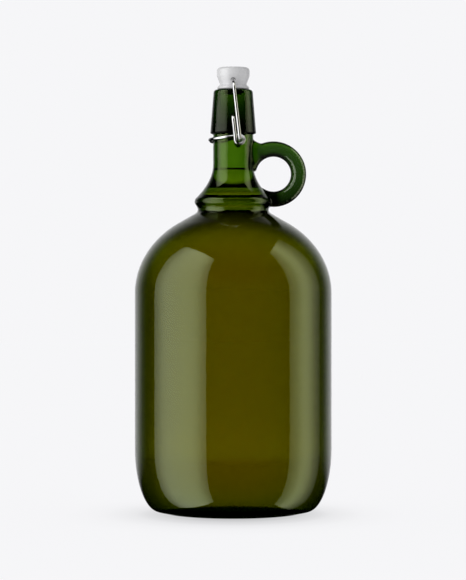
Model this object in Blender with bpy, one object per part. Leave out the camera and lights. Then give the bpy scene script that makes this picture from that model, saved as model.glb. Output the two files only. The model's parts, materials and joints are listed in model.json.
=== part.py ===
"""Swing-top glass jug with a ring handle: bottle, porcelain stopper, rubber gasket, bail wire and lever wire.

The jug stands on the XY plane with its axis on +Z. The ring handle is on the +X side, and the two sides
of the wire closure are mirror images across the plane y = 0. All lengths are in metres.
"""

import math

import bmesh
import bpy
from mathutils import Vector

# Bottle, outside.
BODY_RADIUS = 0.0656
PUNT_RADIUS = 0.0370
PUNT_HEIGHT = 0.0080
BEARING_RADIUS = 0.0405
HEEL_START_RADIUS = 0.0497
HEEL_START_Z = 0.0019
HEEL_END_Z = 0.0439
SHOULDER_START_Z = 0.1472
SHOULDER_SEMI_HEIGHT = 0.0563
SHOULDER_ARC_TOP_Z = 0.1940
CONE_TOP_RADIUS = 0.0242
CONE_TOP_Z = 0.2009
WAIST_RADIUS = 0.0235
WAIST_Z = 0.2029
BEAD_CENTRE_RADIUS = 0.0222
BEAD_CENTRE_Z = 0.2082
BEAD_ARC_RADIUS = 0.0036
BEAD_ARC_START_ANGLE = -50.0
BEAD_ARC_END_ANGLE = 37.0
FLARE_CURVE = 22.2
FLARE_START_Z = 0.2106
NECK_RADIUS = 0.0134
NECK_START_Z = 0.2333
NECK_END_Z = 0.2530
COLLAR_BOTTOM_RADIUS = 0.01535
COLLAR_BOTTOM_Z = 0.2537
COLLAR_TOP_RADIUS = 0.01315
LIP_ROUNDING = 0.0020
LIP_Z = 0.2829

# Bottle, inside.
WALL = 0.0028
FLOOR_CENTRE_Z = 0.0130
FLOOR_RADIUS = 0.0360
FLOOR_Z = 0.0070
NECK_BORE_RADIUS = 0.0098
MOUTH_BORE_RADIUS = 0.0088
BORE_STEP_Z = 0.2640
BORE_STEP_HEIGHT = 0.0060
MOUTH_CHAMFER = 0.0008
BOTTLE_SEGMENTS = 48

# Ring handle: a ring about a centre in the plane y = 0. Angles are measured at that centre, from +X
# towards +Z, and each section lies between an inner and an outer radius.
HANDLE_CENTRE = Vector((0.0268, 0.0, 0.2266))
FINGER_RADIUS = 0.0116
HANDLE_OUTER_RADIUS = 0.0219
HANDLE_START_ANGLE = -128.0
HANDLE_ARC_END_ANGLE = 110.0
HANDLE_HALF_WIDTH = 0.0048
# Where the ring grows into the neck: angle, inner radius, outer radius and half the width along Y.
HANDLE_ROOT_SECTIONS = [
    (116.0, 0.0116, 0.0226, 0.0049),
    (121.0, 0.0116, 0.0260, 0.0051),
    (127.0, 0.0117, 0.0300, 0.0054),
    (140.0, 0.0118, 0.0295, 0.0058),
    (152.0, 0.0120, 0.0280, 0.0058),
    (164.0, 0.0125, 0.0265, 0.0058),
]

# Closure: the three joint axes all run along Y, at these places in the XZ plane.
PIVOT = Vector((-0.0002, 0.0, 0.2643))
EYE = Vector((0.0040, 0.0, 0.2489))
HEAD_HOLE = Vector((0.0, 0.0, 0.2881))
WIRE_RADIUS = 0.0011
DIMPLE_RADIUS = 0.0016
DIMPLE_FLOOR_Y = 0.0120

# Lever wire: half the width of the piece is given by distances from the plane y = 0.
PIVOT_TIP_Y = 0.0126
PIVOT_BEND_Y = 0.0158
EYE_RADIUS = 0.00295
EYE_OUTER_Y = 0.0176
EYE_INNER_Y = 0.0152
LOOP_CENTRE_X = -0.0004
LOOP_RADIUS = 0.0152
LOOP_SLOPE = 0.11

# Bail wire.
BAIL_TIP_Y = 0.0145
BAIL_EYE_Y = 0.0205
BAIL_TOP_Y = 0.0152
BAIL_TOP_Z = 0.2862
BEND_RADIUS = 0.0020

# Stopper head and gasket.
HEAD_TOP_Z = 0.2980
HEAD_RADIUS = 0.0110
HEAD_SIDE_TOP_Z = 0.2953
HEAD_SIDE_LOW_Z = 0.2920
HEAD_WAIST_RADIUS = 0.0090
HEAD_WAIST_Z = 0.2863
FLANGE_RADIUS = 0.0107
FLANGE_TOP_Z = 0.2845
FLANGE_LOW_Z = 0.2834
PLUG_RADIUS = 0.0046
PLUG_BUTTON_RADIUS = 0.0060
PLUG_BUTTON_TOP_Z = 0.2798
PLUG_LOW_Z = 0.2788
GASKET_BORE_RADIUS = 0.0049
GASKET_TOP_RADIUS = 0.0078
GASKET_LOW_RADIUS = 0.0070
GASKET_TOP_Z = 0.2831
GASKET_LOW_Z = 0.2801
HEAD_SEGMENTS = 32

HOLE_SIDES = 12
HOLE_CLEARANCE = 0.0004
HANDLE_SIDES = 12
WIRE_SIDES = 8


def clear_scene():
    for old in list(bpy.data.objects):
        bpy.data.objects.remove(old, do_unlink=True)


def make_material(name, colour, roughness, metallic=0.0, transmission=0.0):
    material = bpy.data.materials.new(name)
    material.use_nodes = True
    shader = material.node_tree.nodes["Principled BSDF"]
    shader.inputs["Base Color"].default_value = (*colour, 1.0)
    shader.inputs["Roughness"].default_value = roughness
    shader.inputs["Metallic"].default_value = metallic
    shader.inputs["Transmission Weight"].default_value = transmission
    return material


def green_glass():
    return make_material("green_glass", (0.10, 0.16, 0.02), 0.03, transmission=0.8)


def glazed_porcelain():
    return make_material("glazed_porcelain", (0.80, 0.80, 0.79), 0.12)


def black_rubber():
    return make_material("black_rubber", (0.02, 0.02, 0.02), 0.6)


def plated_wire():
    return make_material("plated_wire", (0.62, 0.62, 0.63), 0.2, metallic=1.0)


def arc(centre, radii, start, end, steps):
    """Points of an ellipse's arc in a plane, from angle start to angle end."""
    angles = [start + (end - start) * i / steps for i in range(steps + 1)]
    return [(centre[0] + radii[0] * math.cos(a), centre[1] + radii[1] * math.sin(a)) for a in angles]


def add_object(name, mesh_data, material, origin=Vector()):
    """Turns a bmesh in world space into an object whose origin is the given point."""
    mesh_data.normal_update()
    bmesh.ops.recalc_face_normals(mesh_data, faces=mesh_data.faces)
    bmesh.ops.translate(mesh_data, verts=mesh_data.verts, vec=-origin)
    mesh = bpy.data.meshes.new(name)
    mesh_data.to_mesh(mesh)
    mesh_data.free()
    mesh.shade_smooth()
    mesh.set_sharp_from_angle(angle=math.radians(35.0))
    piece = bpy.data.objects.new(name, mesh)
    piece.location = origin
    bpy.context.scene.collection.objects.link(piece)
    if material:
        mesh.materials.append(material)
    return piece


def turned(profile, segments):
    """A closed body turned about Z from (radius, z) points that run from the axis back to the axis."""
    body = bmesh.new()
    rings = []
    for radius, z in profile:
        if radius < 1e-9:
            rings.append([body.verts.new((0.0, 0.0, z))])
            continue
        turns = [2.0 * math.pi * i / segments for i in range(segments)]
        rings.append([body.verts.new((radius * math.cos(t), radius * math.sin(t), z)) for t in turns])
    for lower, upper in zip(rings, rings[1:]):
        for i in range(segments):
            j = (i + 1) % segments
            low_corners = [lower[i % len(lower)], lower[j % len(lower)]]
            high_corners = [upper[j % len(upper)], upper[i % len(upper)]]
            body.faces.new(list(dict.fromkeys(low_corners + high_corners)))
    return body


def turned_ring(profile, segments):
    """A closed ring turned about Z from a closed outline of (radius, z) points."""
    body = bmesh.new()
    turns = [2.0 * math.pi * i / segments for i in range(segments)]
    rings = [[body.verts.new((r * math.cos(t), r * math.sin(t), z)) for t in turns] for r, z in profile]
    for lower, upper in zip(rings, rings[1:] + rings[:1]):
        for i in range(segments):
            j = (i + 1) % segments
            body.faces.new((lower[i], lower[j], upper[j], upper[i]))
    return body


def section(body, middle, across, side, sides):
    """One ring of points round middle, on the ellipse that the vectors across and side give."""
    turns = [2.0 * math.pi * (k + 0.5) / sides for k in range(sides)]
    return [body.verts.new(middle + across * math.cos(t) + side * math.sin(t)) for t in turns]


def skin(body, rings):
    """Closes a tube over rings of equal length, with a flat cap at each end."""
    for first, second in zip(rings, rings[1:]):
        for k in range(len(first)):
            m = (k + 1) % len(first)
            body.faces.new((first[k], first[m], second[m], second[k]))
    body.faces.new(rings[0])
    body.faces.new(rings[-1])


def wire(path):
    """A closed round tube along a path. Its section is carried along without twist."""
    body = bmesh.new()
    rings = []
    across = Vector((0.0, 0.0, 1.0))
    for i, point in enumerate(path):
        ahead = path[min(i + 1, len(path) - 1)] - path[max(i - 1, 0)]
        along = ahead.normalized()
        across = (across - along * across.dot(along)).normalized()
        side = along.cross(across)
        rings.append(section(body, point, across * WIRE_RADIUS, side * WIRE_RADIUS, WIRE_SIDES))
    skin(body, rings)
    return body


def rounded(corners, radius, steps=4):
    """A path through the corners, each inner corner replaced by a curve that starts and ends radius away."""
    path = [corners[0]]
    for before, corner, after in zip(corners, corners[1:], corners[2:]):
        start = corner + (before - corner).normalized() * radius
        end = corner + (after - corner).normalized() * radius
        for i in range(steps + 1):
            t = i / steps
            path.append(start * (1 - t) ** 2 + corner * 2 * t * (1 - t) + end * t**2)
    path.append(corners[-1])
    return path


def modify(piece, kind, cutter):
    modifier = piece.modifiers.new(kind.lower(), "BOOLEAN")
    modifier.operation = kind
    modifier.solver = "EXACT"
    modifier.object = cutter
    cutter.hide_render = True
    cutter.display_type = "WIRE"


def flare_radius(z, neck_radius):
    """The throat opens downwards from the neck as a parabola."""
    return neck_radius + FLARE_CURVE * max(0.0, NECK_START_Z - z) ** 2


def outside_profile():
    profile = [(0.0, PUNT_HEIGHT)]
    profile += arc((0.0, 0.0), (PUNT_RADIUS, PUNT_HEIGHT), math.pi / 2, 0.0, 4)[1:]
    profile += [(BEARING_RADIUS, 0.0), ((BEARING_RADIUS + HEEL_START_RADIUS) / 2, HEEL_START_Z * 0.35)]
    heel = (BODY_RADIUS - HEEL_START_RADIUS, HEEL_END_Z - HEEL_START_Z)
    profile += arc((HEEL_START_RADIUS, HEEL_END_Z), heel, -math.pi / 2, 0.0, 7)
    shoulder_turn = math.asin((SHOULDER_ARC_TOP_Z - SHOULDER_START_Z) / SHOULDER_SEMI_HEIGHT)
    profile += arc((0.0, SHOULDER_START_Z), (BODY_RADIUS, SHOULDER_SEMI_HEIGHT), 0.0, shoulder_turn, 7)
    profile += [(CONE_TOP_RADIUS, CONE_TOP_Z), (WAIST_RADIUS, WAIST_Z)]
    bead = (BEAD_ARC_RADIUS, BEAD_ARC_RADIUS)
    bead_turn = (math.radians(BEAD_ARC_START_ANGLE), math.radians(BEAD_ARC_END_ANGLE))
    profile += arc((BEAD_CENTRE_RADIUS, BEAD_CENTRE_Z), bead, *bead_turn, 5)
    rise = (NECK_START_Z - FLARE_START_Z) / 6
    heights = [FLARE_START_Z + rise * i for i in range(1, 7)]
    profile += [(flare_radius(z, NECK_RADIUS), z) for z in heights]
    profile += [(NECK_RADIUS, NECK_END_Z), (COLLAR_BOTTOM_RADIUS, COLLAR_BOTTOM_Z)]
    lip = (LIP_ROUNDING, LIP_ROUNDING)
    profile += arc((COLLAR_TOP_RADIUS - LIP_ROUNDING, LIP_Z - LIP_ROUNDING), lip, 0.0, math.pi / 2, 3)
    return profile + [(0.0, LIP_Z)]


def cavity_profile():
    """The space inside the glass, as a cutter that runs out through the mouth."""
    wall_radius = BODY_RADIUS - WALL
    profile = [(0.0, FLOOR_CENTRE_Z)]
    profile += arc((0.0, FLOOR_Z), (FLOOR_RADIUS, FLOOR_CENTRE_Z - FLOOR_Z), math.pi / 2, 0.0, 3)[1:]
    heel = (wall_radius - HEEL_START_RADIUS, HEEL_END_Z - FLOOR_Z)
    profile += arc((HEEL_START_RADIUS, HEEL_END_Z), heel, -math.pi / 2, 0.0, 5)
    semi_height = SHOULDER_SEMI_HEIGHT - WALL
    shoulder_turn = math.asin((SHOULDER_ARC_TOP_Z - WALL - SHOULDER_START_Z) / semi_height)
    profile += arc((0.0, SHOULDER_START_Z), (wall_radius, semi_height), 0.0, shoulder_turn, 6)
    profile += [(CONE_TOP_RADIUS - WALL, CONE_TOP_Z - WALL / 2), (WAIST_RADIUS - WALL, WAIST_Z)]
    rise = (NECK_START_Z - FLARE_START_Z) / 4
    heights = [FLARE_START_Z + rise * i for i in range(5)]
    profile += [(flare_radius(z, NECK_BORE_RADIUS), z) for z in heights]
    profile += [(NECK_BORE_RADIUS, BORE_STEP_Z), (MOUTH_BORE_RADIUS, BORE_STEP_Z + BORE_STEP_HEIGHT)]
    chamfer_start = LIP_Z - MOUTH_CHAMFER
    chamfer_run = MOUTH_CHAMFER * 3
    profile += [(MOUTH_BORE_RADIUS, chamfer_start)]
    profile += [(MOUTH_BORE_RADIUS + chamfer_run, chamfer_start + chamfer_run)]
    return profile + [(0.0, chamfer_start + chamfer_run)]


def handle_sections():
    """The ring's sections from inside the bead, round the +X side, to inside the neck."""
    steps = 20
    turn = (HANDLE_ARC_END_ANGLE - HANDLE_START_ANGLE) / steps
    angles = [HANDLE_START_ANGLE + turn * i for i in range(steps + 1)]
    return [(a, FINGER_RADIUS, HANDLE_OUTER_RADIUS, HANDLE_HALF_WIDTH) for a in angles] + HANDLE_ROOT_SECTIONS


def build_handle():
    """The ring, which grows into a tall root where it meets the neck. Its ends lie inside the bottle."""
    body = bmesh.new()
    rings = []
    for angle, inner, outer, half_width in handle_sections():
        a = math.radians(angle)
        out = Vector((math.cos(a), 0.0, math.sin(a)))
        middle = HANDLE_CENTRE + out * (inner + outer) / 2
        across = out * (outer - inner) / 2
        rings.append(section(body, middle, across, Vector((0.0, half_width, 0.0)), HANDLE_SIDES))
    skin(body, rings)
    return add_object("handle_shape", body, None)


def build_dimple(side):
    """The cutter for one blind recess in the collar, which holds one end of the lever wire."""
    depth = COLLAR_BOTTOM_RADIUS - DIMPLE_FLOOR_Y + 0.002
    cutter = bmesh.new()
    bmesh.ops.create_cone(
        cutter, cap_ends=True, segments=HOLE_SIDES, radius1=DIMPLE_RADIUS, radius2=DIMPLE_RADIUS, depth=depth
    )
    for vert in cutter.verts:
        vert.co = Vector((vert.co.x, side * (DIMPLE_FLOOR_Y + depth / 2 + vert.co.z), vert.co.y)) + PIVOT
    return add_object("dimple_front_shape" if side < 0 else "dimple_back_shape", cutter, None)


def build_bottle():
    bottle = add_object("glass_bottle", turned(outside_profile(), BOTTLE_SEGMENTS), green_glass())
    modify(bottle, "UNION", build_handle())
    cavity = add_object("cavity_shape", turned(cavity_profile(), BOTTLE_SEGMENTS), None)
    modify(bottle, "DIFFERENCE", cavity)
    for side in (-1.0, 1.0):
        modify(bottle, "DIFFERENCE", build_dimple(side))
    return bottle


def lever_half():
    """One side of the lever wire, from its tip in the dimple to the middle of the loop, on the +Y side."""
    leg_end = Vector((EYE.x - EYE_RADIUS, EYE_OUTER_Y, EYE.z + 0.0012))
    corners = [
        Vector((PIVOT.x, PIVOT_TIP_Y, PIVOT.z)),
        Vector((PIVOT.x, PIVOT_BEND_Y, PIVOT.z)),
        leg_end,
    ]
    path = rounded(corners, BEND_RADIUS)
    turns = 12
    for i in range(1, turns + 1):
        angle = math.pi + 1.5 * math.pi * i / turns
        y = EYE_OUTER_Y + (EYE_INNER_Y - EYE_OUTER_Y) * i / turns
        path.append(Vector((EYE.x + EYE_RADIUS * math.cos(angle), y, EYE.z + EYE_RADIUS * math.sin(angle))))
    steps = 10
    for i in range(steps + 1):
        angle = math.pi / 2 * (1 + i / steps)
        x = LOOP_CENTRE_X + LOOP_RADIUS * math.cos(angle)
        z = EYE.z + EYE_RADIUS - LOOP_SLOPE * (EYE.x - x)
        path.append(Vector((x, LOOP_RADIUS * math.sin(angle), z)))
    return path


def bail_half():
    """One side of the bail wire, from its hooked tip in the eye to the middle of the head, on the +Y side."""
    corners = [
        Vector((EYE.x, BAIL_TIP_Y, EYE.z)),
        Vector((EYE.x, BAIL_EYE_Y, EYE.z)),
        Vector((0.0, BAIL_TOP_Y, BAIL_TOP_Z)),
        HEAD_HOLE + Vector((0.0, HEAD_RADIUS + BEND_RADIUS * 0.4, 0.0)),
        HEAD_HOLE,
    ]
    return rounded(corners, BEND_RADIUS)


def mirrored(half):
    """The whole path: one side, then the same points in the other order on the other side of y = 0."""
    other = [Vector((point.x, -point.y, point.z)) for point in reversed(half[:-1])]
    return half + other


def build_lever():
    return add_object("lever_wire", wire(mirrored(lever_half())), plated_wire(), PIVOT)


def build_bail():
    return add_object("bail_wire", wire(mirrored(bail_half())), plated_wire(), EYE)


def head_profile():
    profile = [(0.0, PLUG_LOW_Z), (PLUG_BUTTON_RADIUS, PLUG_LOW_Z), (PLUG_BUTTON_RADIUS, PLUG_BUTTON_TOP_Z)]
    profile += [(PLUG_RADIUS, PLUG_BUTTON_TOP_Z), (PLUG_RADIUS, FLANGE_LOW_Z), (FLANGE_RADIUS, FLANGE_LOW_Z)]
    profile += [(FLANGE_RADIUS, FLANGE_TOP_Z), (HEAD_WAIST_RADIUS, HEAD_WAIST_Z)]
    profile += [(HEAD_RADIUS, HEAD_SIDE_LOW_Z)]
    rim = HEAD_TOP_Z - HEAD_SIDE_TOP_Z
    profile += arc((HEAD_RADIUS - rim, HEAD_SIDE_TOP_Z), (rim, rim * 0.88), 0.0, math.pi / 2, 4)
    return profile + [(0.0, HEAD_TOP_Z)]


def build_head():
    head = add_object("stopper_head", turned(head_profile(), HEAD_SEGMENTS), glazed_porcelain(), HEAD_HOLE)
    cutter = bmesh.new()
    radius = WIRE_RADIUS + HOLE_CLEARANCE
    bmesh.ops.create_cone(
        cutter, cap_ends=True, segments=HOLE_SIDES, radius1=radius, radius2=radius, depth=HEAD_RADIUS * 3
    )
    for vert in cutter.verts:
        vert.co = Vector((vert.co.x, vert.co.z, vert.co.y)) + HEAD_HOLE
    modify(head, "DIFFERENCE", add_object("head_hole_shape", cutter, None))
    return head


def build_gasket():
    profile = [
        (GASKET_BORE_RADIUS, GASKET_LOW_Z),
        (GASKET_LOW_RADIUS, GASKET_LOW_Z),
        (GASKET_TOP_RADIUS, GASKET_TOP_Z),
        (GASKET_BORE_RADIUS, GASKET_TOP_Z),
    ]
    return add_object("gasket", turned_ring(profile, HEAD_SEGMENTS), black_rubber(), HEAD_HOLE)


def main():
    clear_scene()
    build_bottle()
    build_lever()
    build_bail()
    build_head()
    build_gasket()


main()
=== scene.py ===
"""The looks of the swing-top glass jug: glass, liquid, porcelain, rubber and plated wire on the CAD frame.

Every length is in metres, in the CAD's own frame: the bottle's axis is +Z, the ring handle is on the +X side
and the jug stands on z = 0.
"""

import json
import math

import bmesh
import bpy
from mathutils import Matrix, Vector


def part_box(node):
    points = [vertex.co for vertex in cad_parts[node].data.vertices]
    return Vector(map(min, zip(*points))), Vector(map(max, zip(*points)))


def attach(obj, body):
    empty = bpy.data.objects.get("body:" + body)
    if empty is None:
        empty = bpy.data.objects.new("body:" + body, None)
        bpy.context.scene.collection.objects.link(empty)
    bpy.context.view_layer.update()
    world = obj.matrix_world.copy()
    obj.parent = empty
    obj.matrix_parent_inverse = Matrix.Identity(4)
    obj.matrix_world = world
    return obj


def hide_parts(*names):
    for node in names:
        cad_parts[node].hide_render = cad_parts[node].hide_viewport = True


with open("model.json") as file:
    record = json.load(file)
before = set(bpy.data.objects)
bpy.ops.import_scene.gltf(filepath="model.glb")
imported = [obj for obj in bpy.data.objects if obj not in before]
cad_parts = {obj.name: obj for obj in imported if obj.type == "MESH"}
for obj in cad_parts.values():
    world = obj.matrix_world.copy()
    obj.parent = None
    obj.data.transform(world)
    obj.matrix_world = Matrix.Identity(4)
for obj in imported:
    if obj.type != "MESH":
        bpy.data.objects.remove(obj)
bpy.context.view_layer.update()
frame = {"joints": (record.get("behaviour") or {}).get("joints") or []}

# The bottle outside, measured from the CAD where the CAD has it.
GLASS_LOW, GLASS_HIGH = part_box("glass_bottle")
BODY_RADIUS = -GLASS_LOW.x
LIP_Z = GLASS_HIGH.z
PUNT_RADIUS = 0.0370
PUNT_HEIGHT = 0.0080
BEARING_RADIUS = 0.0405
HEEL_START_RADIUS = 0.0497
HEEL_START_Z = 0.0019
HEEL_END_Z = 0.0439
SHOULDER_START_Z = 0.1472
SHOULDER_SEMI_HEIGHT = 0.0563
SHOULDER_ARC_TOP_Z = 0.1940
CONE_TOP_RADIUS = 0.0242
CONE_TOP_Z = 0.2009
WAIST_RADIUS = 0.0235
WAIST_Z = 0.2029
BEAD_CENTRE_RADIUS = 0.0222
BEAD_CENTRE_Z = 0.2082
BEAD_ARC_RADIUS = 0.0036
BEAD_ARC_START_ANGLE = -50.0
BEAD_ARC_END_ANGLE = 37.0
FLARE_CURVE = 22.2
FLARE_START_Z = 0.2106
NECK_RADIUS = 0.0134
NECK_START_Z = 0.2333
NECK_END_Z = 0.2530
COLLAR_BOTTOM_RADIUS = 0.01535
COLLAR_BOTTOM_Z = 0.2537
COLLAR_TOP_RADIUS = 0.01315
LIP_ROUNDING = 0.0020

# The bottle inside.
WALL = 0.0028
FLOOR_CENTRE_Z = 0.0130
FLOOR_RADIUS = 0.0360
FLOOR_Z = 0.0070
NECK_BORE_RADIUS = 0.0098
MOUTH_BORE_RADIUS = 0.0088
BORE_STEP_Z = 0.2640
BORE_STEP_HEIGHT = 0.0060
MOUTH_ROUNDING = 0.0008
LIQUID_LEVEL_Z = 0.2283
LIQUID_OVERLAP = 0.00012
MENISCUS_CLIMB = 0.0020
MENISCUS_REACH = 0.0034

# The ring handle, in polar terms about its own centre.
HANDLE_CENTRE = Vector((0.0268, 0.0, 0.2266))
FINGER_RADIUS = 0.0116
HANDLE_OUTER_RADIUS = 0.0219
HANDLE_HALF_WIDTH = 0.0048

# The blind recess for each end of the lever wire.
DIMPLE_RADIUS = 0.0016
DIMPLE_FLOOR_Y = 0.0120
DIMPLE_DEPTH = 0.0056

# The closure: joint places come from the CAD's joints.
JOINTS = {joint["name"]: Vector(joint["pos_m"]) for joint in frame["joints"]}
PIVOT = JOINTS["lever_pivot"]
EYE = JOINTS["bail_swing"]
HEAD_HOLE = JOINTS["stopper_tilt"]
WIRE_RADIUS = 0.0011
BEND_RADIUS = 0.0020
LOOP_SAG = 0.0011

TURNS = 192


def add_object(name, body, material, body_name=None, node=None):
    """A smooth mesh object from a bmesh, which rides on a CAD body and stands for a CAD node."""
    body.normal_update()
    bmesh.ops.recalc_face_normals(body, faces=body.faces)
    mesh = bpy.data.meshes.new(name)
    body.to_mesh(mesh)
    body.free()
    mesh.shade_smooth()
    piece = bpy.data.objects.new(name, mesh)
    bpy.context.scene.collection.objects.link(piece)
    if material:
        mesh.materials.append(material)
    if body_name:
        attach(piece, body_name)
    if node:
        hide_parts(node)
    return piece


def around(count):
    """The angles of a full turn in even steps, in radians."""
    return [2.0 * math.pi * i / count for i in range(count)]


def arc(centre, radii, start, end, steps):
    """Points of an ellipse's arc, angles in radians."""
    angles = [start + (end - start) * i / steps for i in range(steps + 1)]
    return [(centre[0] + radii[0] * math.cos(a), centre[1] + radii[1] * math.sin(a)) for a in angles]


def softened(points, radius, steps=6):
    """A path with its inner points cut by curves that start and end radius away, or less on short runs."""
    points = [Vector(p) for p in points]
    path = [points[0]]
    for before, corner, after in zip(points, points[1:], points[2:]):
        back = min(radius, (before - corner).length * 0.45)
        on = min(radius, (after - corner).length * 0.45)
        start = corner + (before - corner).normalized() * back
        end = corner + (after - corner).normalized() * on
        for i in range(steps + 1):
            t = i / steps
            path.append(start * (1 - t) ** 2 + corner * (2 * t * (1 - t)) + end * t**2)
    return path + [points[-1]]


def lathe(profile, turns=TURNS):
    """A closed body turned about Z from (radius, z) points that run from the axis back to the axis."""
    body = bmesh.new()
    rings = []
    angles = around(turns)
    for radius, z in profile:
        if radius < 1e-7:
            rings.append([body.verts.new((0.0, 0.0, z))] * turns)
        else:
            rings.append([body.verts.new((radius * math.cos(a), radius * math.sin(a), z)) for a in angles])
    for low, high in zip(rings, rings[1:]):
        for i in range(turns):
            j = (i + 1) % turns
            corners = dict.fromkeys((low[i], low[j], high[j], high[i]))
            body.faces.new(list(corners))
    return body


def lathe_ring(outline, turns=TURNS):
    """A closed ring turned about Z from a closed outline of (radius, z) points."""
    body = bmesh.new()
    angles = around(turns)
    rings = [[body.verts.new((r * math.cos(a), r * math.sin(a), z)) for a in angles] for r, z in outline]
    for low, high in zip(rings, rings[1:] + rings[:1]):
        for i in range(turns):
            j = (i + 1) % turns
            body.faces.new((low[i], low[j], high[j], high[i]))
    return body


def tube(rings_of_points):
    """A closed tube over rings of equal length, with a flat cap at each end."""
    body = bmesh.new()
    rings = [[body.verts.new(p) for p in ring] for ring in rings_of_points]
    count = len(rings[0])
    for first, second in zip(rings, rings[1:]):
        for k in range(count):
            m = (k + 1) % count
            body.faces.new((first[k], first[m], second[m], second[k]))
    body.faces.new(rings[0])
    body.faces.new(rings[-1])
    return body


def combine(piece, kind, other, solver="MANIFOLD"):
    """Applies a Boolean of another object to a piece, then removes the other object."""
    modifier = piece.modifiers.new(kind.lower(), "BOOLEAN")
    modifier.operation = kind
    modifier.solver = solver
    modifier.object = other
    graph = bpy.context.evaluated_depsgraph_get()
    made = bpy.data.meshes.new_from_object(piece.evaluated_get(graph))
    piece.modifiers.clear()
    piece.data = made
    bpy.data.objects.remove(other, do_unlink=True)


# ---------------------------------------------------------------- outlines


def flare_radius(z, neck_radius):
    """The throat opens downwards from the neck as a parabola."""
    return neck_radius + FLARE_CURVE * max(0.0, NECK_START_Z - z) ** 2


def spaced(low, high, steps):
    return [low + (high - low) * i / steps for i in range(steps + 1)]


def outside_profile():
    profile = arc((0.0, 0.0), (PUNT_RADIUS, PUNT_HEIGHT), math.pi / 2, 0.0, 20)
    profile[0] = (0.0, PUNT_HEIGHT)
    profile += [(BEARING_RADIUS, 0.0), ((BEARING_RADIUS + HEEL_START_RADIUS) / 2, HEEL_START_Z * 0.35)]
    foot = softened(profile[-4:] + [(HEEL_START_RADIUS, HEEL_START_Z)], 0.0012, 4)
    profile = profile[:-4] + [tuple(p) for p in foot]
    heel = (BODY_RADIUS - HEEL_START_RADIUS, HEEL_END_Z - HEEL_START_Z)
    profile += arc((HEEL_START_RADIUS, HEEL_END_Z), heel, -math.pi / 2, 0.0, 40)[1:]
    profile += [(BODY_RADIUS, z) for z in spaced(HEEL_END_Z, SHOULDER_START_Z, 16)[1:-1]]
    shoulder_turn = math.asin((SHOULDER_ARC_TOP_Z - SHOULDER_START_Z) / SHOULDER_SEMI_HEIGHT)
    profile += arc((0.0, SHOULDER_START_Z), (BODY_RADIUS, SHOULDER_SEMI_HEIGHT), 0.0, shoulder_turn, 44)
    waist = [profile[-1], (CONE_TOP_RADIUS, CONE_TOP_Z), (WAIST_RADIUS, WAIST_Z)]
    bead = (BEAD_ARC_RADIUS, BEAD_ARC_RADIUS)
    bead_turn = (math.radians(BEAD_ARC_START_ANGLE), math.radians(BEAD_ARC_END_ANGLE))
    bead_arc = arc((BEAD_CENTRE_RADIUS, BEAD_CENTRE_Z), bead, *bead_turn, 20)
    profile += [tuple(p) for p in softened(waist + bead_arc[:1], 0.0016, 6)[1:-1]]
    profile += bead_arc
    profile += [(flare_radius(z, NECK_RADIUS), z) for z in spaced(FLARE_START_Z, NECK_START_Z, 40)[1:]]
    profile += [(NECK_RADIUS, z) for z in spaced(NECK_START_Z, NECK_END_Z, 36)[1:-1]]
    lip_corner = (COLLAR_TOP_RADIUS - LIP_ROUNDING, LIP_Z - LIP_ROUNDING)
    collar_top = (COLLAR_TOP_RADIUS, LIP_Z - LIP_ROUNDING)
    corner = [profile[-1], (NECK_RADIUS, NECK_END_Z), (COLLAR_BOTTOM_RADIUS, COLLAR_BOTTOM_Z), collar_top]
    profile += [tuple(p) for p in softened(corner, 0.0007, 6)[1:-1]]
    profile += arc(lip_corner, (LIP_ROUNDING, LIP_ROUNDING), 0.0, math.pi / 2, 12)
    return profile + [(0.0, LIP_Z)]


def inside_profile(grow=0.0):
    """The inner wall from the middle of the floor to the mouth, moved outwards by grow."""
    wall_radius = BODY_RADIUS - WALL + grow
    profile = arc((0.0, FLOOR_Z - grow), (FLOOR_RADIUS, FLOOR_CENTRE_Z - FLOOR_Z), math.pi / 2, 0.0, 16)
    profile[0] = (0.0, FLOOR_CENTRE_Z - grow)
    heel = (wall_radius - HEEL_START_RADIUS, HEEL_END_Z - FLOOR_Z + grow)
    heel_arc = arc((HEEL_START_RADIUS, HEEL_END_Z), heel, -math.pi / 2, 0.0, 32)
    profile = [tuple(p) for p in softened(profile + heel_arc[:2], 0.002, 3)[:-1]] + heel_arc[1:]
    profile += [(wall_radius, z) for z in spaced(HEEL_END_Z, SHOULDER_START_Z, 12)[1:-1]]
    semi_height = SHOULDER_SEMI_HEIGHT - WALL + grow
    shoulder_turn = math.asin((SHOULDER_ARC_TOP_Z - WALL - SHOULDER_START_Z) / semi_height)
    profile += arc((0.0, SHOULDER_START_Z), (wall_radius, semi_height), 0.0, shoulder_turn, 36)
    waist = [profile[-1], (CONE_TOP_RADIUS - WALL + grow, CONE_TOP_Z - WALL / 2)]
    waist += [(WAIST_RADIUS - WALL + grow, WAIST_Z)]
    heights = spaced(FLARE_START_Z, NECK_START_Z, 24)
    flare = [(flare_radius(z, NECK_BORE_RADIUS) + grow, z) for z in heights]
    profile += [tuple(p) for p in softened(waist + flare[:2], 0.0030, 8)[1:-1]]
    profile += flare[1:]
    profile += [(NECK_BORE_RADIUS + grow, z) for z in spaced(NECK_START_Z, BORE_STEP_Z, 10)[1:]]
    profile += [(MOUTH_BORE_RADIUS + grow, BORE_STEP_Z + BORE_STEP_HEIGHT)]
    return profile


def cavity_profile():
    """The inner wall, run out through the mouth with a rounded inner edge at the lip."""
    rounding = (MOUTH_ROUNDING, MOUTH_ROUNDING)
    middle = (MOUTH_BORE_RADIUS + MOUTH_ROUNDING, LIP_Z - MOUTH_ROUNDING)
    edge = arc(middle, rounding, math.pi, math.pi / 2, 6)
    out = (MOUTH_BORE_RADIUS + 2 * MOUTH_ROUNDING, LIP_Z + 0.0001)
    return inside_profile() + edge + [out, (out[0], LIP_Z + 0.002), (0.0, LIP_Z + 0.002)]


# ---------------------------------------------------------------- bottle


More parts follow.
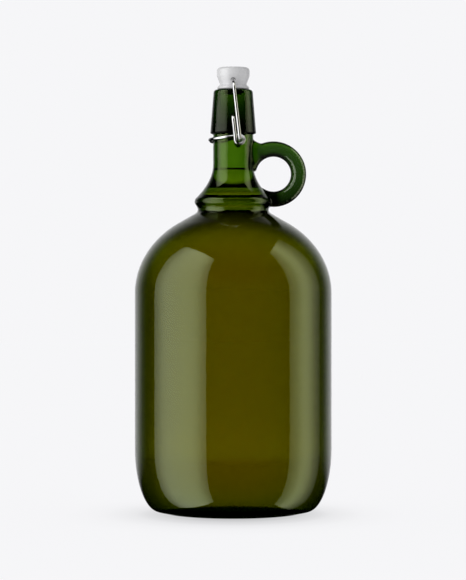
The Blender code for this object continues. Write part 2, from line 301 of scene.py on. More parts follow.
def smooth_step(t):
    t = min(1.0, max(0.0, t))
    return t * t * (3.0 - 2.0 * t)


def handle_section(angle):
    """Inner radius, outer radius and half width of the handle where its ring has turned to angle, in degrees.

    The upper root, past 105 degrees, grows towards the collar and the lower root, before -108, grows a little.
    """
    inner = FINGER_RADIUS
    outer = HANDLE_OUTER_RADIUS
    outer += 0.0100 * smooth_step((angle - 108.0) / 22.0) ** 1.5
    width = HANDLE_HALF_WIDTH + 0.0010 * smooth_step((angle - 105.0) / 40.0)
    low_root = smooth_step((-108.0 - angle) / 22.0)
    outer += 0.0010 * low_root
    width += 0.0008 * low_root
    return inner, outer, width


def handle_rings():
    sides = 48
    rings = []
    for angle in spaced(-130.0, 171.0, 175):
        a = math.radians(angle)
        inner, outer, width = handle_section(angle)
        out = Vector((math.cos(a), 0.0, math.sin(a)))
        middle = HANDLE_CENTRE + out * (inner + outer) / 2
        across = out * (outer - inner) / 2
        turns = around(sides)
        rings.append([middle + across * math.cos(t) + Vector((0.0, width * math.sin(t), 0.0)) for t in turns])
    return rings


def dimple_shape(side):
    """A round-bottomed blind recess for one end of the lever wire."""
    turns = around(32)
    rings = []
    for share, inward in [(0.25, 0.0), (0.75, 0.12), (1.0, 0.6)]:
        radius = DIMPLE_RADIUS * share
        y = side * (DIMPLE_FLOOR_Y + inward * 0.001)
        rings.append([PIVOT + Vector((radius * math.cos(t), y, radius * math.sin(t))) for t in turns])
    rings.append([Vector((p.x, side * (DIMPLE_FLOOR_Y + DIMPLE_DEPTH), p.z)) for p in rings[-1]])
    return add_object("dimple_shape", tube(rings), None)


def near_handle_roots(point):
    """Whether a point is on the handle's side of the neck, between the body and the collar."""
    on_side = point.x > 0.009 and abs(point.y) < 0.0075 and math.hypot(point.x, point.y) > 0.0118
    return on_side and 0.2045 < point.z < 0.2525


def soften_handle_roots(piece):
    """Rounds the creases where the handle runs into the neck and the bead, by relaxing points near them."""
    body = bmesh.new()
    body.from_mesh(piece.data)
    body.normal_update()
    creases = [
        edge
        for edge in body.edges
        if len(edge.link_faces) == 2
        and edge.calc_face_angle(0.0) > math.radians(16)
        and near_handle_roots(edge.verts[0].co)
    ]
    near = {vert for edge in creases for vert in edge.verts}
    reach = set(near)
    for _ in range(3):
        near = {edge.other_vert(vert) for vert in near for edge in vert.link_edges} - reach
        reach |= near
    reach = [vert for vert in body.verts if vert in reach and vert.co.x > 0.008]
    bmesh.ops.remove_doubles(body, verts=reach, dist=0.00012)
    reach = [vert for vert in reach if vert.is_valid]
    for _ in range(6):
        bmesh.ops.smooth_vert(
            body, verts=reach, factor=0.5, use_axis_x=True, use_axis_y=True, use_axis_z=True
        )
    body.to_mesh(piece.data)
    body.free()


def build_bottle(material):
    bottle = add_object("bottle_glass", lathe(outside_profile()), material)
    combine(bottle, "UNION", add_object("handle_shape", tube(handle_rings()), None))
    soften_handle_roots(bottle)
    combine(bottle, "DIFFERENCE", add_object("cavity_shape", lathe(cavity_profile()), None))
    for side in (-1.0, 1.0):
        combine(bottle, "DIFFERENCE", dimple_shape(side))
    bottle.data.shade_smooth()
    bottle.data.set_sharp_from_angle(angle=math.radians(50.0))
    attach(bottle, "bottle")
    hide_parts("glass_bottle")
    return bottle


def build_liquid(material):
    """The liquid meets the glass a hair inside the wall, so that no film of air shows between them."""
    wall = [p for p in inside_profile(LIQUID_OVERLAP) if p[1] < LIQUID_LEVEL_Z]
    radius = flare_radius(LIQUID_LEVEL_Z, NECK_BORE_RADIUS) + LIQUID_OVERLAP
    meniscus = [
        (radius - MENISCUS_REACH * s, LIQUID_LEVEL_Z + MENISCUS_CLIMB * math.exp(-4.5 * s))
        for s in spaced(0.0, 1.0, 12)
    ]
    surface = meniscus + [(radius * s, LIQUID_LEVEL_Z) for s in (0.5, 0.25)] + [(0.0, LIQUID_LEVEL_Z)]
    return add_object("liquid", lathe(wall + surface), material, "bottle")


# ---------------------------------------------------------------- closure


def even(path, step):
    """The same path with its points step apart."""
    lengths = [0.0]
    for a, b in zip(path, path[1:]):
        lengths.append(lengths[-1] + (b - a).length)
    count = max(2, round(lengths[-1] / step))
    points = []
    k = 0
    for target in spaced(0.0, lengths[-1], count):
        while k < len(path) - 2 and lengths[k + 1] < target:
            k += 1
        run = lengths[k + 1] - lengths[k] or 1.0
        points.append(path[k].lerp(path[k + 1], (target - lengths[k]) / run))
    return points


def relaxed(path, rounds):
    """The path with its points moved towards their neighbours, its ends kept."""
    for _ in range(rounds):
        middle = [(a + b * 2 + c) / 4 for a, b, c in zip(path, path[1:], path[2:])]
        path = [path[0]] + middle + [path[-1]]
    return path


def wire_rings(path, sides=20):
    """Round sections along the path, carried without twist, with a rounded tip at both ends."""
    rings = []
    across = Vector((0.0, 0.0, 1.0))
    last = len(path) - 1
    for i, point in enumerate(path):
        along = (path[min(i + 1, last)] - path[max(i - 1, 0)]).normalized()
        across = (across - along * across.dot(along)).normalized()
        side = along.cross(across)
        turns = around(sides)
        sections = [(0.0, 1.0)]
        if i in (0, last):
            sections = [(math.cos(t), math.sin(t)) for t in (0.15, 0.5, 0.9, 1.3)]
        if i == last:
            sections.reverse()
        for back, share in sections:
            outwards = along * (-back if i == 0 else back) * WIRE_RADIUS * 0.35
            ring = [across * math.cos(t) + side * math.sin(t) for t in turns]
            rings.append([point + outwards + p * WIRE_RADIUS * share for p in ring])
    return rings


def mirrored(half):
    """One side's path, then the same points in the other order on the other side of y = 0."""
    return half + [Vector((p.x, -p.y, p.z)) for p in reversed(half[:-1])]


def lever_half():
    """From the tip in the dimple, down the leg, round the eye and out to the middle of the loop."""
    eye_radius, outer_y, inner_y = 0.00290, 0.0176, 0.0152
    eye_x = EYE.x + 0.0003
    start = Vector((PIVOT.x, 0.0127, PIVOT.z))
    bend = Vector((PIVOT.x, 0.0158, PIVOT.z))
    leg_end = Vector((eye_x - eye_radius, outer_y, EYE.z + 0.0012))
    path = softened([start, bend, leg_end], BEND_RADIUS, 10)
    for i in range(1, 61):
        angle = math.pi + 1.5 * math.pi * i / 60
        y = outer_y + (inner_y - outer_y) * i / 60
        path.append(Vector((eye_x + eye_radius * math.cos(angle), y, EYE.z + eye_radius * math.sin(angle))))
    centre_x, radius, slope, low = -0.0004, 0.0152, 0.11, 0.0002
    for angle in spaced(math.pi / 2, math.pi, 40):
        x = centre_x + radius * math.cos(angle)
        path.append(Vector((x, radius * math.sin(angle), EYE.z + eye_radius - low - slope * (EYE.x - x))))
    return path


def bail_half():
    """From the hooked tip in the eye, up the side of the collar and through the porcelain head."""
    eye_y, top_y, top_z, head_y = 0.0205, 0.0152, 0.2862, 0.0117
    corners = [
        Vector((EYE.x, 0.0146, EYE.z)),
        Vector((EYE.x + 0.0005, eye_y, EYE.z)),
        Vector((0.0003, top_y, top_z)),
        HEAD_HOLE + Vector((0.0, head_y, 0.0)),
        HEAD_HOLE,
    ]
    return softened(corners, BEND_RADIUS, 10)


def sagged(path):
    """The lever's path with the far side of its loop bent a little lower than the near side."""
    lower = []
    for p in path:
        turn = math.degrees(math.atan2(p.y, -p.x))
        on_loop = smooth_step((turn - 3.0) / 25.0) * smooth_step((86.0 - turn) / 25.0)
        lower.append(p - Vector((0.0, 0.0, LOOP_SAG * on_loop if p.z < EYE.z + 0.004 else 0.0)))
    return lower


def build_wire(name, path, body_name, material):
    path = relaxed(even(path, 0.00035), 6)
    return add_object(name, tube(wire_rings(path)), material, body_name, body_name + "_wire")


def head_profile():
    top_z, radius, side_top_z, side_low_z = 0.2980, 0.0110, 0.2953, 0.2920
    waist = (0.0088, 0.2862)
    flange_radius, flange_top_z, flange_low_z = 0.0107, 0.2846, 0.2831
    plug_radius, button_radius, button_top_z, low_z = 0.0046, 0.0060, 0.2798, 0.2788
    dome = 0.0003
    rim = top_z - dome - side_top_z
    plug = [(0.0, low_z), (button_radius, low_z), (button_radius, button_top_z), (plug_radius, button_top_z)]
    plug += [(plug_radius, flange_low_z), (flange_radius, flange_low_z), (flange_radius, flange_top_z)]
    side = softened(plug + [waist, (radius, side_low_z), (radius, side_top_z)], 0.0009, 6)
    crown = arc((radius - rim, side_top_z), (rim, rim), 0.0, math.pi / 2, 14)
    inner = radius - rim
    cap = [(inner * s, top_z - dome * s * s) for s in (0.8, 0.6, 0.4, 0.2, 0.0)]
    return [tuple(p) for p in side[:-1]] + crown + cap


def build_head(material):
    head = add_object("porcelain_head", lathe(head_profile(), 128), material)
    radius, half, raised = 0.00160, 0.012, Vector((0.0, 0.0, 0.0005))
    turns = around(40)
    flares = [(-half, 1.6), (-0.0100, 1.12), (-0.0090, 1.0), (0.0090, 1.0), (0.0100, 1.12), (half, 1.6)]
    rings = [
        [HEAD_HOLE + raised + Vector((radius * k * math.cos(t), y, radius * k * math.sin(t))) for t in turns]
        for y, k in flares
    ]
    combine(head, "DIFFERENCE", add_object("hole_shape", tube(rings), None))
    head.data.shade_smooth()
    head.data.set_sharp_from_angle(angle=math.radians(40.0))
    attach(head, "stopper")
    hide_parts("stopper_head")
    return head


def build_gasket(material):
    bore, low_radius, top_radius = 0.0049, 0.0070, 0.0078
    low_z, edge_z, top_z = 0.2801, 0.2828, 0.2831
    outline = [(bore, low_z), (low_radius, low_z), (top_radius, edge_z), (top_radius, top_z), (bore, top_z)]
    middle = [(bore, 0.2816)]
    outline = [tuple(p) for p in softened(middle + outline + middle, 0.0003, 5)][:-1]
    ring = lathe_ring(outline, 128)
    return add_object("rubber_gasket", ring, material, "stopper", "gasket")


# ---------------------------------------------------------------- materials


def new_material(name):
    material = bpy.data.materials.new(name)
    material.use_nodes = True
    tree = material.node_tree
    return material, tree, tree.nodes["Principled BSDF"]


def noise(tree, scale, detail=3.0, roughness=0.5):
    coords = tree.nodes.new("ShaderNodeTexCoord")
    texture = tree.nodes.new("ShaderNodeTexNoise")
    texture.inputs["Scale"].default_value = scale
    texture.inputs["Detail"].default_value = detail
    texture.inputs["Roughness"].default_value = roughness
    tree.links.new(coords.outputs["Object"], texture.inputs["Vector"])
    return texture.outputs["Fac"]


def math_node(tree, kind, a, b=0.0, c=0.0):
    node = tree.nodes.new("ShaderNodeMath")
    node.operation = kind
    for i, value in enumerate((a, b, c)):
        if isinstance(value, (int, float)):
            node.inputs[i].default_value = value
        else:
            tree.links.new(value, node.inputs[i])
    return node.outputs[0]


def spread(tree, value, low, high, low_to, high_to):
    """A value from low to high, eased into one from low_to to high_to and held beyond them."""
    node = tree.nodes.new("ShaderNodeMapRange")
    node.interpolation_type = "SMOOTHSTEP"
    tree.links.new(value, node.inputs["Value"])
    node.inputs["From Min"].default_value = low
    node.inputs["From Max"].default_value = high
    node.inputs["To Min"].default_value = low_to
    node.inputs["To Max"].default_value = high_to
    return node.outputs["Result"]


def along(tree, value, span):
    """How far a value is along a span of (lowest, length), as a share."""
    lowest, length = span
    return math_node(tree, "MULTIPLY_ADD", value, 1.0 / length, -lowest / length)


def curve(tree, value, points):
    """A smooth curve through (input, output) points, all between 0 and 1."""
    node = tree.nodes.new("ShaderNodeFloatCurve")
    node.mapping.extend = "HORIZONTAL"
    line = node.mapping.curves[0]
    while len(line.points) < len(points):
        line.points.new(0.5, 0.5)
    for spot, place in zip(line.points, sorted(points)):
        spot.location = place
        spot.handle_type = "AUTO_CLAMPED"
    node.mapping.update()
    tree.links.new(value, node.inputs["Value"])
    return node.outputs["Value"]


def blend(tree, share, first, second):
    """A colour that goes from the first to the second as the share goes from 0 to 1."""
    node = tree.nodes.new("ShaderNodeMix")
    node.data_type = "RGBA"
    tree.links.new(share, node.inputs["Factor"])
    for name, colour in (("A", first), ("B", second)):
        socket = next(i for i in node.inputs if i.name == name and i.type == "RGBA")
        if isinstance(colour, tuple):
            socket.default_value = (*colour, 1.0)
        else:
            tree.links.new(colour, socket)
    return next(o for o in node.outputs if o.type == "RGBA")


def bump(tree, shader, height, distance, strength=1.0):
    node = tree.nodes.new("ShaderNodeBump")
    node.inputs["Strength"].default_value = strength
    node.inputs["Distance"].default_value = distance
    tree.links.new(height, node.inputs["Height"])
    tree.links.new(node.outputs["Normal"], shader.inputs["Normal"])


def absorb(tree, colour, density):
    """Colour taken up along the way through the body, per metre."""
    volume = tree.nodes.new("ShaderNodeVolumeAbsorption")
    volume.inputs["Color"].default_value = (*colour, 1.0)
    volume.inputs["Density"].default_value = density
    tree.links.new(volume.outputs["Volume"], tree.nodes["Material Output"].inputs["Volume"])


GLASS_COLOUR = (0.493, 0.666, 0.0)
GLASS_DENSITY = 832.0
LIQUID_COLOUR = (0.98, 0.835, 0.0)
LIQUID_DENSITY = 60.0

# Painted reflection tint by height: dims and tints what the glass mirrors, black at the collar's underside.
# Each span is (lowest height, length).
PAINTED_REFLECTION_SPAN = (0.19, 0.10)
PAINTED_REFLECTION_TINT = (
    (0.199, (0.85, 1.0, 0.52)), (0.206, (0.58, 0.74, 0.27)), (0.2530, (0.55, 0.70, 0.26)),
    (0.2534, (0.0, 0.0, 0.0)), (0.2541, (0.0, 0.0, 0.0)), (0.2548, (0.32, 0.36, 0.27)),
    (0.280, (0.42, 0.56, 0.23)),
)
# Painted shade up the collar, as (share of the span, clearness): darkest at its foot and black at its
# underside.
COLLAR_SPAN = (0.25, 0.04)
COLLAR_PAINTED_SHADE = (
    (0.0, 1.0), (0.078, 1.0), (0.086, 0.0), (0.105, 0.0), (0.125, 0.10), (0.18, 0.10), (0.26, 0.14),
    (0.34, 0.25), (0.43, 0.40), (0.51, 0.52), (0.60, 0.63), (0.68, 0.70), (0.82, 0.80), (1.0, 0.85),
)
# Painted shade up the ring handle, as (share of the span, clearness), darkest at its low root.
RING_SPAN = (0.20, 0.05)
RING_PAINTED_SHADE = (
    (0.0, 0.05), (0.12, 0.05), (0.20, 0.22), (0.27, 0.33), (0.36, 0.42), (0.53, 0.60), (0.70, 0.70),
    (0.90, 0.78), (1.0, 0.78),
)


def glass_material():
    """Dark green bottle glass: clear, with a faint mould ripple, a seam and slight wear near the foot, and
    painted shade and painted reflection tint by height.
    """
    material, tree, shader = new_material("green_bottle_glass")
    shader.inputs["IOR"].default_value = 1.5
    # Ripple, seam and wear.
    coords = tree.nodes.new("ShaderNodeTexCoord")
    place = tree.nodes.new("ShaderNodeSeparateXYZ")
    tree.links.new(coords.outputs["Object"], place.inputs[0])
    ripple = noise(tree, 26.0, 2.0, 0.4)
    seam_reach = math_node(tree, "ABSOLUTE", place.outputs["Y"])
    seam = spread(tree, seam_reach, 0.0, 0.00035, 0.15, 0.0)
    height = math_node(tree, "ADD", ripple, seam)
    bump(tree, shader, height, 0.00012)
    wear = spread(tree, place.outputs["Z"], 0.0015, 0.006, 1.0, 0.0)
    scuffs = spread(tree, noise(tree, 900.0, 4.0, 0.6), 0.45, 0.7, 0.0, 0.12)
    tree.links.new(math_node(tree, "MULTIPLY", wear, scuffs), shader.inputs["Roughness"])
    # Painted reflection tint by height, and a paler painted tint of its own on the ring handle.
    reflection_paint = tree.nodes.new("ShaderNodeValToRGB")
    while len(reflection_paint.color_ramp.elements) < len(PAINTED_REFLECTION_TINT):
        reflection_paint.color_ramp.elements.new(0.5)
    lowest, length = PAINTED_REFLECTION_SPAN
    for stop, (level, colour) in zip(reflection_paint.color_ramp.elements, PAINTED_REFLECTION_TINT):
        stop.position = (level - lowest) / length
        stop.color = (*colour, 1.0)
    tree.links.new(along(tree, place.outputs["Z"], PAINTED_REFLECTION_SPAN), reflection_paint.inputs[0])
    past_bead = spread(tree, place.outputs["X"], 0.0238, 0.0250, 0.0, 1.0)
    past_neck = spread(tree, place.outputs["X"], 0.0150, 0.0168, 0.0, 1.0)
    above_throat = spread(tree, place.outputs["Z"], 0.2245, 0.2265, 0.0, 1.0)
    past_neck = math_node(tree, "MULTIPLY", past_neck, above_throat)
    above_body = spread(tree, place.outputs["Z"], 0.2030, 0.2050, 0.0, 1.0)
    on_ring = math_node(tree, "MAXIMUM", past_bead, past_neck)
    on_ring = math_node(tree, "MULTIPLY", on_ring, above_body)
    painted_tint = blend(tree, on_ring, reflection_paint.outputs[0], (0.85, 0.95, 0.75))
    tree.links.new(painted_tint, shader.inputs["Specular Tint"])
    bloom = math_node(tree, "MULTIPLY_ADD", on_ring, -0.01, 1.0)
    tree.links.new(bloom, shader.inputs["Transmission Weight"])
    # Painted shade in the glass's colour, darker in the collar and the ring handle; the bead is tinted darker
    # too.
    collar = curve(tree, along(tree, place.outputs["Z"], COLLAR_SPAN), COLLAR_PAINTED_SHADE)
    ring = curve(tree, along(tree, place.outputs["Z"], RING_SPAN), RING_PAINTED_SHADE)
    # Painted shade at the ring's low root, next to the bead and below the finger hole.
    near_bead = spread(tree, place.outputs["X"], 0.0282, 0.0332, 0.95, 0.0)
    below_hole = spread(tree, place.outputs["Z"], 0.212, 0.216, 1.0, 0.0)
    low_root = math_node(tree, "MULTIPLY", near_bead, below_hole)
    ring = math_node(tree, "MULTIPLY", ring, math_node(tree, "SUBTRACT", 1.0, low_root))
    off_ring = math_node(tree, "SUBTRACT", 1.0, on_ring)
    shaded_clearness = math_node(tree, "MULTIPLY_ADD", on_ring, ring, math_node(tree, "MULTIPLY", off_ring, collar))
    on_bead = spread(tree, place.outputs["Z"], 0.2035, 0.2050, 0.0, 1.0)
    on_bead = math_node(tree, "MULTIPLY", on_bead, spread(tree, place.outputs["Z"], 0.2120, 0.2165, 1.0, 0.0))
    on_bead = math_node(tree, "MULTIPLY", on_bead, off_ring)
    tinted = blend(tree, on_bead, (1.0, 1.0, 1.0), (0.90, 0.81, 1.0))
    tree.links.new(blend(tree, shaded_clearness, (0.0, 0.0, 0.0), tinted), shader.inputs["Base Color"])
    absorb(tree, GLASS_COLOUR, GLASS_DENSITY)
    return material


def liquid_material():
    material, tree, shader = new_material("amber_liquid")
    shader.inputs["Base Color"].default_value = (1.0, 1.0, 1.0, 1.0)
    shader.inputs["Transmission Weight"].default_value = 1.0
    shader.inputs["Roughness"].default_value = 0.0
    shader.inputs["IOR"].default_value = 1.34
    absorb(tree, LIQUID_COLOUR, LIQUID_DENSITY)
    return material


def porcelain_material():
    material, tree, shader = new_material("white_porcelain")
    ramp = tree.nodes.new("ShaderNodeValToRGB")
    ramp.color_ramp.elements[0].color = (0.64, 0.64, 0.64, 1.0)
    ramp.color_ramp.elements[1].color = (0.70, 0.70, 0.705, 1.0)
    tree.links.new(noise(tree, 240.0, 4.0, 0.6), ramp.inputs[0])
    tree.links.new(ramp.outputs[0], shader.inputs["Base Color"])
    shader.inputs["Coat Weight"].default_value = 0.6
    shader.inputs["Coat Roughness"].default_value = 0.04
    tree.links.new(spread(tree, noise(tree, 500.0), 0.3, 0.7, 0.22, 0.32), shader.inputs["Roughness"])
    bump(tree, shader, noise(tree, 330.0, 2.0), 0.00006)
    return material


def rubber_material():
    material, tree, shader = new_material("dark_rubber")
    ramp = tree.nodes.new("ShaderNodeValToRGB")
    ramp.color_ramp.elements[0].color = (0.010, 0.010, 0.010, 1.0)
    ramp.color_ramp.elements[1].color = (0.026, 0.025, 0.024, 1.0)
    tree.links.new(noise(tree, 700.0, 5.0), ramp.inputs[0])
    tree.links.new(ramp.outputs[0], shader.inputs["Base Color"])
    tree.links.new(spread(tree, noise(tree, 1500.0), 0.3, 0.7, 0.5, 0.7), shader.inputs["Roughness"])
    bump(tree, shader, noise(tree, 2500.0, 3.0), 0.00005)
    return material


def wire_material():
    material, tree, shader = new_material("plated_spring_wire")
    ramp = tree.nodes.new("ShaderNodeValToRGB")
    ramp.color_ramp.elements[0].color = (0.36, 0.36, 0.37, 1.0)
    ramp.color_ramp.elements[1].color = (0.52, 0.52, 0.52, 1.0)
    tree.links.new(noise(tree, 420.0, 4.0, 0.6), ramp.inputs[0])
    tree.links.new(ramp.outputs[0], shader.inputs["Base Color"])
    shader.inputs["Metallic"].default_value = 1.0
    tree.links.new(spread(tree, noise(tree, 900.0, 4.0), 0.3, 0.75, 0.10, 0.24), shader.inputs["Roughness"])
    bump(tree, shader, noise(tree, 3000.0, 3.0), 0.00002)
    return material


# ---------------------------------------------------------------- stage


BACK_LIGHT = 0.938
PALE = (0.983, 0.983, 1.0, 1.0)
FILL = 0.55
FLOOR_ALBEDO = 0.08
FLOOR_GAP = 0.00002
JUG_MIDDLE_Z = 0.15
# Painted contact shadow: brightness of the floor near the foot, as (distance from the axis, brightness) with
# CONTACT_REACH put to 1.
# Distances along Y count for less, which draws the shade out towards the front and the back.
CONTACT_REACH = 0.2
CONTACT_SCALE_Y = 0.7
CONTACT_SHADE = (
    (0.0, 0.58), (0.15, 0.63), (0.18, 0.67), (0.225, 0.74), (0.25, 0.785), (0.28, 0.82), (0.305, 0.865),
    (0.325, 0.90), (0.355, 0.925), (0.39, 0.95), (0.425, 0.972), (0.50, 0.99), (0.60, 1.0), (1.0, 1.0),
)
# The softboxes, as (azimuth from the camera's side in degrees, radiance). The high one lights only the wires.
LEFT_BOX = (
    (-31, 1.25), (-34, 1.65), (-37.7, 2.2), (-41.5, 2.85), (-45.3, 3.3), (-49, 3.6), (-57, 3.75),
    (-65, 3.7), (-74, 3.55), (-83, 3.2), (-88, 2.75), (-93, 2.1), (-98, 1.45), (-104, 0.9),
)
RIGHT_BOX = (
    (68, 1.0), (71, 1.15), (75, 1.5), (79, 1.8), (84, 2.3), (88.7, 2.6), (93.7, 2.4), (99, 2.0),
    (104.5, 1.28), (110, 0.79), (116.6, 0.4), (121, 0.1),
)
HIGH_BOX = ((-40, 0.5), (-20, 2.5), (0, 3.0), (20, 2.5), (40, 0.5))
# How far they reach down and up, in degrees seen from the jug.
LEFT_HEIGHTS = (-56, 57)
RIGHT_HEIGHTS = (-52, 57)
HIGH_HEIGHTS = (32, 66)
FILL_HEIGHTS = (-52, 57)
# The matte pieces get the same boxes, but weaker.
LEFT_FILL_GAIN = 0.55
RIGHT_FILL_GAIN = 0.12
WHITE = (1.0, 1.0, 1.0)
FAINT_YELLOW = (1.0, 1.0, 0.8)
SOFTBOX_DISTANCE = 3.0
# The backdrop, as (degrees, brightness): seen through the glass to either side and upwards, and mirrored.
BACKDROP_ACROSS = (
    (0, 1.0), (24, 1.0), (38, 0.52), (56, 0.50), (63, 0.0), (104, 0.0), (120, 0.5), (150, 0.8),
    (180, 0.9),
)
BACKDROP_UP = (
    (-90, 0.6), (-66, 0.5), (-56, 0.02), (-50, 0.01), (-40, 0.025), (-33, 0.07), (-28, 0.14),
    (-25, 0.31), (-22, 0.60), (-19, 0.89), (-16, 0.97), (-12, 0.90), (-7, 0.79), (0, 0.71), (6, 0.68),
    (12, 0.57), (18, 0.44), (24, 0.26), (31, 0.07), (40, 0.0), (90, 0.0),
)
BACKDROP_MOST = 1.35
BACKDROP_MIRRORED = (
    (0, 0.85), (16, 0.78), (28, 0.66), (36.6, 0.465), (43.5, 0.25), (49.4, 0.093), (55, 0.03),
    (60, 0.0), (180, 0.0),
)


def turned(table, middle):
    """A table's degrees as shares of half a turn, from a middle."""
    return [(middle + angle / 180.0, value) for angle, value in table]


def build_camera():
    """Level with the middle of the jug, with a long lens."""
    distance, aside, height, view_height = 1.834, -0.00015, 0.1493, 0.3869
    data = bpy.data.cameras.new("camera")
    data.sensor_width = 36.0
    data.lens = data.sensor_width * distance / view_height
    data.clip_start = 0.05
    data.clip_end = 50.0
    camera = bpy.data.objects.new("camera", data)
    camera.location = (aside, -distance, height)
    camera.rotation_euler = (math.pi / 2, 0.0, 0.0)
    bpy.context.scene.collection.objects.link(camera)
    bpy.context.scene.camera = camera


def backdrop_through(tree, heading):
    """What shines through the glass: a pale backdrop, brightest a little below level, with black round it."""
    split = tree.nodes.new("ShaderNodeSeparateXYZ")
    tree.links.new(heading, split.inputs[0])
    sideways = math_node(tree, "ABSOLUTE", split.outputs["X"])
    aside = math_node(tree, "ARCTAN2", sideways, split.outputs["Y"])
    climb = math_node(tree, "ARCSINE", split.outputs["Z"])
    across = curve(tree, math_node(tree, "MULTIPLY", aside, 1.0 / math.pi), turned(BACKDROP_ACROSS, 0.0))
    upwards = curve(tree, math_node(tree, "MULTIPLY_ADD", climb, 1.0 / math.pi, 0.5), turned(BACKDROP_UP, 0.5))
    return math_node(tree, "MULTIPLY", math_node(tree, "MULTIPLY", across, upwards), BACKDROP_MOST)


def backdrop_mirrored(tree, heading):
    """What the surfaces mirror: only the backdrop, fading from its middle outwards and towards the floor."""
    split = tree.nodes.new("ShaderNodeSeparateXYZ")
    tree.links.new(heading, split.inputs[0])
    off_axis = math_node(tree, "MULTIPLY", math_node(tree, "ARCCOSINE", split.outputs["Y"]), 1.0 / math.pi)
    above_floor = spread(tree, split.outputs["Z"], -0.20, -0.06, 0.0, 1.0)
    return math_node(tree, "MULTIPLY", curve(tree, off_axis, turned(BACKDROP_MIRRORED, 0.0)), above_floor)


def build_world():
    """An even pale surround to the eye, with less fill for matte surfaces."""
    world = bpy.data.worlds.new("studio")
    bpy.context.scene.world = world
    world.use_nodes = True
    world.cycles.sampling_method = "NONE"
    tree = world.node_tree
    background = tree.nodes["Background"]
    background.inputs["Color"].default_value = PALE
    heading = tree.nodes.new("ShaderNodeTexCoord").outputs["Generated"]
    paths = tree.nodes.new("ShaderNodeLightPath")
    diffuse = paths.outputs["Is Diffuse Ray"]
    refracted = paths.outputs["Is Transmission Ray"]
    mirrored_ray = math_node(tree, "SUBTRACT", paths.outputs["Is Glossy Ray"], refracted)
    mirrored_ray = math_node(tree, "MAXIMUM", mirrored_ray, 0.0)
    strength = math_node(tree, "MULTIPLY_ADD", diffuse, FILL - 1.0, 1.0)
    mirror = math_node(tree, "SUBTRACT", backdrop_mirrored(tree, heading), 1.0)
    strength = math_node(tree, "MULTIPLY_ADD", mirrored_ray, mirror, strength)
    through = math_node(tree, "SUBTRACT", backdrop_through(tree, heading), 1.0)
    strength = math_node(tree, "MULTIPLY_ADD", refracted, through, strength)
    tree.links.new(math_node(tree, "MULTIPLY", strength, BACK_LIGHT), background.inputs["Strength"])


def build_floor():
    """A pale floor that gives part of its own light, so that it meets the surround with no line, with a painted
    contact shadow round the foot.
    """
    half = 6.0
    body = bmesh.new()
    signs = ((-1, -1), (1, -1), (1, 1), (-1, 1))
    corners = [body.verts.new((x * half, y * half, -FLOOR_GAP)) for x, y in signs]
    body.faces.new(corners)
    material, tree, shader = new_material("pale_floor")
    tree.nodes.remove(shader)
    coords = tree.nodes.new("ShaderNodeTexCoord")
    from_jug = tree.nodes.new("ShaderNodeVectorMath")
    from_jug.operation = "SUBTRACT"
    from_jug.inputs[1].default_value = (0.0, 0.0, JUG_MIDDLE_Z)
    tree.links.new(coords.outputs["Object"], from_jug.inputs[0])
    heading = tree.nodes.new("ShaderNodeVectorMath")
    heading.operation = "NORMALIZE"
    tree.links.new(from_jug.outputs[0], heading.inputs[0])
    paths = tree.nodes.new("ShaderNodeLightPath")
    refracted = paths.outputs["Is Transmission Ray"]
    through = math_node(tree, "SUBTRACT", backdrop_through(tree, heading.outputs[0]), 1.0)
    share = math_node(tree, "MULTIPLY_ADD", refracted, through, 1.0)
    stretched = tree.nodes.new("ShaderNodeVectorMath")
    stretched.operation = "MULTIPLY"
    stretched.inputs[1].default_value = (1.0, CONTACT_SCALE_Y, 1.0)
    tree.links.new(coords.outputs["Object"], stretched.inputs[0])
    on_floor = tree.nodes.new("ShaderNodeVectorMath")
    on_floor.operation = "LENGTH"
    tree.links.new(stretched.outputs[0], on_floor.inputs[0])
    # Painted contact shadow: the floor's own light and colour darken towards the foot.
    away = math_node(tree, "MULTIPLY", on_floor.outputs["Value"], 1.0 / CONTACT_REACH)
    share = math_node(tree, "MULTIPLY", share, curve(tree, away, CONTACT_SHADE))
    glow = tree.nodes.new("ShaderNodeEmission")
    glow.inputs["Color"].default_value = PALE
    own_light = BACK_LIGHT * (1.0 - FLOOR_ALBEDO * FILL)
    tree.links.new(math_node(tree, "MULTIPLY", share, own_light), glow.inputs["Strength"])
    matte = tree.nodes.new("ShaderNodeBsdfDiffuse")
    albedo = math_node(tree, "MULTIPLY", share, FLOOR_ALBEDO)
    tree.links.new(albedo, matte.inputs["Color"])
    both = tree.nodes.new("ShaderNodeAddShader")
    tree.links.new(glow.outputs[0], both.inputs[0])
    tree.links.new(matte.outputs[0], both.inputs[1])
    tree.links.new(both.outputs[0], tree.nodes["Material Output"].inputs["Surface"])
    floor = add_object("floor", body, material)
    floor.visible_glossy = False
    return floor


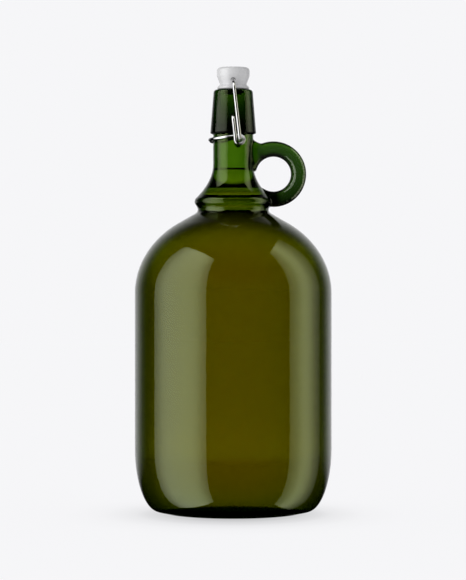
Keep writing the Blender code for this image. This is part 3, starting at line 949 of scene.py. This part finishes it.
def build_softbox(name, radiances, heights, colour, gain, lit):
    """A tall soft light that faces the jug, brighter or darker across its width, which lights only some pieces.

    Its azimuths are measured from the camera's side, positive towards +X, and its heights are angles seen from
    the jug.
    """
    inner, outer = (math.radians(radiances[i][0]) for i in (0, -1))
    a = (inner + outer) / 2
    reach = math.tan(abs(outer - inner) / 2)
    low, high = (SOFTBOX_DISTANCE * math.tan(math.radians(h)) for h in heights)
    most = max(r for _, r in radiances)
    data = bpy.data.lights.new(name, "AREA")
    data.shape = "RECTANGLE"
    data.size = 2.0 * SOFTBOX_DISTANCE * reach
    data.size_y = high - low
    data.color = colour
    data.energy = gain * most * math.pi * data.size * data.size_y
    light = bpy.data.objects.new(name, data)
    middle_z = JUG_MIDDLE_Z + (low + high) / 2
    light.location = (SOFTBOX_DISTANCE * math.sin(a), -SOFTBOX_DISTANCE * math.cos(a), middle_z)
    light.rotation_euler = (math.pi / 2, 0.0, a)
    light.visible_camera = False
    light.visible_transmission = False
    bpy.context.scene.collection.objects.link(light)
    receivers = bpy.data.collections.new(name + "_lights")
    for piece in lit:
        receivers.objects.link(piece)
    light.light_linking.receiver_collection = receivers
    data.use_nodes = True
    tree = data.node_tree
    place = tree.nodes.new("ShaderNodeNewGeometry")
    split = tree.nodes.new("ShaderNodeSeparateXYZ")
    tree.links.new(place.outputs["Parametric"], split.inputs[0])
    points = [(0.5 + 0.5 * math.tan(math.radians(angle) - a) / reach, r / most) for angle, r in radiances]
    tree.links.new(curve(tree, split.outputs[0], points), tree.nodes["Emission"].inputs["Strength"])
    return light


def build_lights(glass, wires, matte):
    build_softbox("left_softbox", LEFT_BOX, LEFT_HEIGHTS, WHITE, 1.0, glass + wires)
    build_softbox("right_softbox", RIGHT_BOX, RIGHT_HEIGHTS, FAINT_YELLOW, 1.0, glass + wires)
    build_softbox("high_wire_light", HIGH_BOX, HIGH_HEIGHTS, WHITE, 1.0, wires)
    build_softbox("left_fill", LEFT_BOX, FILL_HEIGHTS, WHITE, LEFT_FILL_GAIN, matte)
    build_softbox("right_fill", RIGHT_BOX, FILL_HEIGHTS, WHITE, RIGHT_FILL_GAIN, matte)


def set_view():
    scene = bpy.context.scene
    scene.view_settings.view_transform = "Standard"
    scene.cycles.max_bounces = 24
    scene.cycles.transmission_bounces = 24
    scene.cycles.glossy_bounces = 12
    scene.cycles.caustics_reflective = False
    scene.cycles.caustics_refractive = False


def main():
    build_camera()
    build_world()
    build_floor()
    set_view()
    bottle = build_bottle(glass_material())
    build_liquid(liquid_material())
    steel = wire_material()
    lever = build_wire("lever_loop_wire", sagged(mirrored(lever_half())), "lever", steel)
    bail = build_wire("bail_hoop_wire", mirrored(bail_half()), "bail", steel)
    head = build_head(porcelain_material())
    gasket = build_gasket(rubber_material())
    build_lights([bottle], [lever, bail], [head, gasket])


main()
